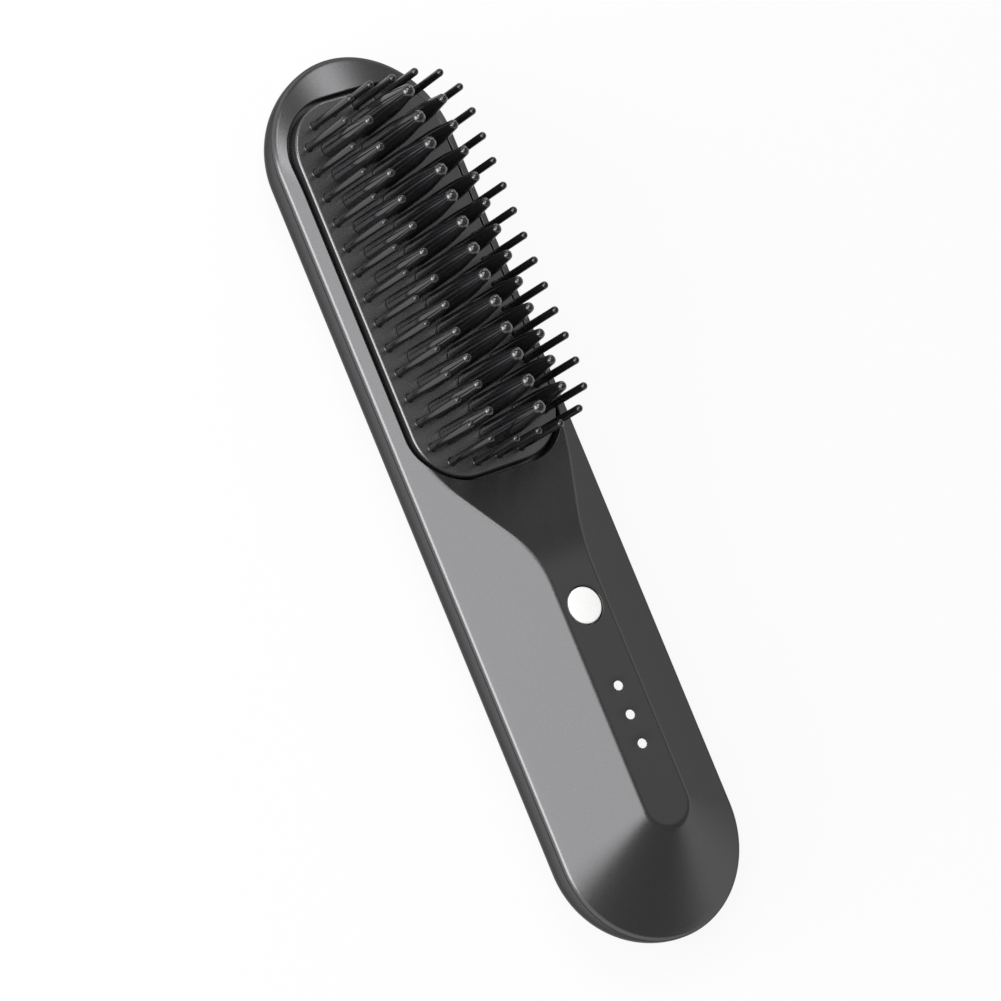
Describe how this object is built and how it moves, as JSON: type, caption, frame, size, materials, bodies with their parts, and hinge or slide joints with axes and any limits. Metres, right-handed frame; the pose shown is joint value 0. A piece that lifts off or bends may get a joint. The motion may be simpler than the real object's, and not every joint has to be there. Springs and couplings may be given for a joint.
{
  "type": "hair straightening brush",
  "caption": "Cordless hair straightening brush with a faceted handle, a push button with charge lamps, and columns of heated teeth inside a ring of guard pins.",
  "frame": {"origin": "under the middle of the brush's length, on the flat back that it lies on", "axes": "+X across the brush, +Y along it to the toothed head end, +Z out of the toothed face"},
  "size_m": [0.0408, 0.1836, 0.037],
  "materials": {
    "cover_coat": "satin metallic grey coat on moulded plastic",
    "comb_black": "moulded black heat resistant plastic",
    "tooth_black": "die cast aluminium under a glossy black ceramic coat",
    "bare_aluminium": "cast and milled",
    "heater_ceramic": "sintered, unglazed",
    "insulation_film": "polyimide film",
    "spring_steel": "rolled sheet",
    "screw_steel": "zinc plated",
    "fibre_felt": "ceramic fibre felt",
    "frame_plastic": "glass filled moulding",
    "sensor_body": "coated film",
    "fuse_can": "drawn can",
    "wire_red": "silicone insulation",
    "wire_white": "silicone insulation",
    "cell_sleeve": "shrink sleeve over the can",
    "foam": "closed cell foam",
    "nickel": "nickel strip",
    "board_green": "glass laminate with solder mask",
    "chip_black": "moulded package",
    "plug_white": "moulded",
    "capacitor_can": "drawn can",
    "button_white": "moulded white plastic",
    "lamp_white": "translucent moulding",
    "lamp_chip": "phosphor cap",
    "socket_steel": "deep drawn shell"
  },
  "bodies": {
    "brush": {"front_cover": "cover_coat", "back_cover": "cover_coat", "comb_plate": "comb_black", "guard_pins": "comb_black", "heated_teeth": "tooth_black", "heat_plate": "bare_aluminium", "ceramic_heaters": "heater_ceramic", "heater_insulator": "insulation_film", "heater_clamp": "spring_steel", "clamp_screws": "screw_steel", "thermistor": "sensor_body", "thermal_fuse": "fuse_can", "insulation_pad": "fibre_felt", "heater_frame": "frame_plastic", "frame_screws": "screw_steel", "battery_cells": "cell_sleeve", "battery_cradle": "frame_plastic", "battery_pads": "foam", "battery_tabs": "nickel", "battery_leads": "wire_red", "main_board": "board_green", "board_screws": "screw_steel", "heater_plug": "plug_white", "control_chip": "chip_black", "charge_coil": "chip_black", "power_transistors": "chip_black", "board_capacitors": "capacitor_can", "tact_switch": "chip_black", "light_pipe": "lamp_white", "led_chips": "lamp_chip", "charge_board": "board_green", "charge_screws": "screw_steel", "charge_chip": "chip_black", "charge_socket": "socket_steel", "socket_tongue": "chip_black", "heater_leads": "wire_red", "sensor_leads": "wire_white", "charge_leads": "wire_red", "case_screws": "screw_steel"},
    "button": {"power_button": "button_white", "switch_plunger": "chip_black"}
  },
  "joints": [
    {"name": "button_press", "type": "slide", "parent": "brush", "child": "button", "axis": [0, 0, -1], "range_m": [0, 0.0005], "stiffness_N_per_m": 2000}
  ]
}
